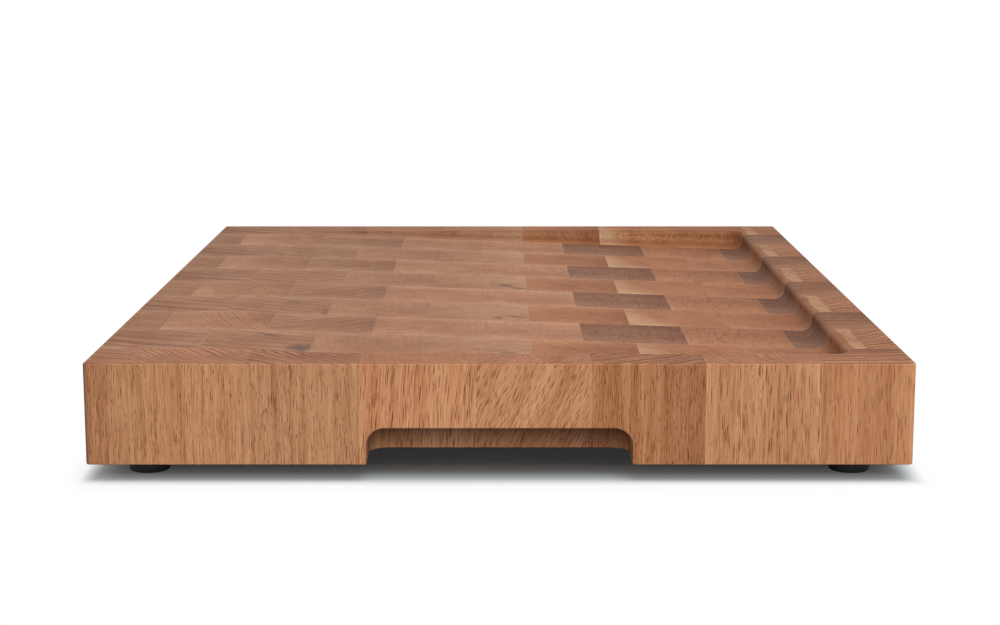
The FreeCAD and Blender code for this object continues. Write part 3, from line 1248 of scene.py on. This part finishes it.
@dataclass(frozen=True)
class Studio:
    """A white sweep, soft lamps, and the camera that took the photograph.

    Attributes:
        camera_place: The camera's place, in mm.
        camera_dip: How far it looks down, in radians.
        lens: Its focal length, in mm.
        sensor: The width of its sensor, in mm.
        world_light: How strongly the surround lights the scene, beside the white that is seen.
        floor_half: Half the floor's width, in metres.
        floor_colour: The paper of the floor.
        painted_shadow_paper: A darker, cooler paper under the board: painted shadow, which deepens the cast
            shadow and cancels the warm light that the oak throws there.
        shade_reach_mm: Where that goes over into plain paper, outwards from the board's outline.
        side_shadow_mm: How white the floor is left and right, by the distance from the shadow's outline.
        front_shadow_mm: How white it is in front and behind, by the same.
        shadow_beyond_mm: How far the shadow's outline lies outside the board, at the left and the right.
        softboxes: The lamps.
    """

    camera_place: Triple = (0.29, -1165.97, 246.84)
    camera_dip: float = 0.1761
    lens: float = 70.257
    sensor: float = 36.0
    world_light: float = 0.33
    floor_half: float = 6.0
    floor_colour: str = "F4F4F4"
    painted_shadow_paper: str = "8F9BA0"
    shade_reach_mm: Pair = (-10.0, 8.0)
    side_shadow_mm: tuple[Pair, ...] = (
        (-40.0, 0.015), (-20.0, 0.02), (-14.0, 0.05), (-9.0, 0.1),
        (-5.5, 0.16), (-1.5, 0.4), (2.5, 0.86), (12.0, 1.0),
    )
    front_shadow_mm: tuple[Pair, ...] = (
        (-40.0, 0.01), (-28.0, 0.035), (-20.0, 0.06), (-10.0, 0.178),
        (0.0, 0.36), (12.0, 0.67), (22.0, 1.0),
    )
    shadow_beyond_mm: Pair = (3.0, 6.0)
    softboxes: tuple[Softbox, ...] = (
        Softbox("front_softbox", (0.45, -1.12, 2.0), (1.6, 1.4), 48.5),
    )

    def set_camera(self) -> None:
        """Put the camera where the photograph was taken from."""
        lens = bpy.data.cameras.new("camera")
        lens.sensor_fit = "HORIZONTAL"
        lens.sensor_width = self.sensor
        lens.lens = self.lens
        holder = bpy.data.objects.new("camera", lens)
        holder.location = Vector(self.camera_place) * MM
        holder.rotation_euler = (math.pi / 2 - self.camera_dip, 0.0, 0.0)
        bpy.context.scene.collection.objects.link(holder)
        bpy.context.scene.camera = holder

    def light_world(self) -> None:
        """A white surround that lights everything a little and looks white."""
        world = bpy.data.worlds.new("white_studio")
        bpy.context.scene.world = world
        world.use_nodes = True
        tree = world.node_tree
        background = tree.nodes["Background"]
        background.inputs["Color"].default_value = (1.0, 1.0, 1.0, 1.0)
        rays = tree.nodes.new("ShaderNodeLightPath")
        seen = rays.outputs["Is Camera Ray"]
        for kind in ("Is Glossy Ray", "Is Transmission Ray"):
            either = tree.nodes.new("ShaderNodeMath")
            either.operation = "MAXIMUM"
            tree.links.new(seen, either.inputs[0])
            tree.links.new(rays.outputs[kind], either.inputs[1])
            seen = either.outputs[0]
        strength = tree.nodes.new("ShaderNodeMapRange")
        tree.links.new(seen, strength.inputs["Value"])
        strength.inputs["To Min"].default_value = self.world_light
        strength.inputs["To Max"].default_value = 1.0
        tree.links.new(strength.outputs[0], background.inputs["Strength"])

    def lay_floor(self) -> None:
        """A pale floor that keeps the cast shadow near the board, shaped and deepened by painted shadow,
        and is plain white further away.
        """
        shader = Shader("white_paper_sweep")
        add = shader.add
        low, high = CAD_BOX
        left, right = low[0] - self.shadow_beyond_mm[0] * MM, high[0] + self.shadow_beyond_mm[1] * MM
        middle = ((left + right) / 2, (low[1] + high[1]) / 2)
        half = ((right - left) / 2, (high[1] - low[1]) / 2)
        place = add("TexCoord", out="Object")
        offset = shader.vector("SUBTRACT", place, (*middle, 0))
        offset = shader.vector("ABSOLUTE", offset)
        offset = shader.vector("SUBTRACT", offset, (*half, 0))
        sides = add("SeparateXYZ", {0: offset}).node.outputs
        under = shader.calc("MAXIMUM", sides["X"], sides["Y"])
        # Painted shadow: seen from the camera, the floor glows white by these profiles, so the shadow's
        # gradient near the board is painted as well as cast
        whites = []
        for distance, profile in ((sides["X"], self.side_shadow_mm), (sides["Y"], self.front_shadow_mm)):
            first, last = profile[0][0], profile[-1][0]
            reach = shader.span(distance, (first * MM, last * MM))
            shares = [((place - first) / (last - first), white) for place, white in profile]
            whites.append(add("ValToRGB", {0: reach}, stops=greys(shares)))
        away = add("Mix", {0: whites[0], 2: whites[1], 3: 1.0}, data_type="FLOAT")
        edges = [reach * MM for reach in self.shade_reach_mm]
        under = shader.span(under, edges, smooth=True)
        rays = add("LightPath", out="Is Camera Ray")
        seen = shader.calc("MAXIMUM", rays, rays.node.outputs["Is Glossy Ray"])
        seen = shader.calc("MAXIMUM", seen, rays.node.outputs["Is Transmission Ray"])
        white = shader.calc("MULTIPLY", away, seen)
        # Painted shadow: under the board the paper is darker and cooler, which deepens the cast shadow and
        # cancels the oak's warm light on it
        paper = shader.mix(under, linear(self.painted_shadow_paper), linear(self.floor_colour))
        paper = add("BsdfDiffuse", {"Color": paper})
        glow = add("Emission", {"Color": (1.0, 1.0, 1.0, 1.0), "Strength": 1.0})
        surface = add("MixShader", {0: white, 1: paper, 2: glow})
        add("OutputMaterial", {"Surface": surface})
        side = self.floor_half
        mesh = bpy.data.meshes.new("floor")
        corners = [(-side, -side, 0), (side, -side, 0), (side, side, 0), (-side, side, 0)]
        mesh.from_pydata(corners, [], [(0, 1, 2, 3)])
        mesh.materials.append(shader.material)
        floor = bpy.data.objects.new("floor", mesh)
        bpy.context.scene.collection.objects.link(floor)
        floor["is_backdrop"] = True

    def build(self) -> None:
        """Set up the floor, the light and the camera."""
        bpy.context.scene.view_settings.view_transform = "Standard"
        self.lay_floor()
        self.light_world()
        for softbox in self.softboxes:
            softbox.build(Vector((0.0, 0.0, 0.0)))
        self.set_camera()


def write_sizes() -> None:
    """Put the CAD box and the dressed object's box into plain lists."""
    boxes = {"cad": CAD_BOX, "visual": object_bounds()}
    plain = {name: [list(corner) for corner in box] for name, box in boxes.items()}


def main() -> None:
    """Dress the board and its feet, then set up the studio."""
    logging.basicConfig(level=logging.INFO, format="%(message)s")
    Board().dress()
    Feet().dress()
    Studio().build()
    write_sizes()


if __name__ == "__main__":
    main()
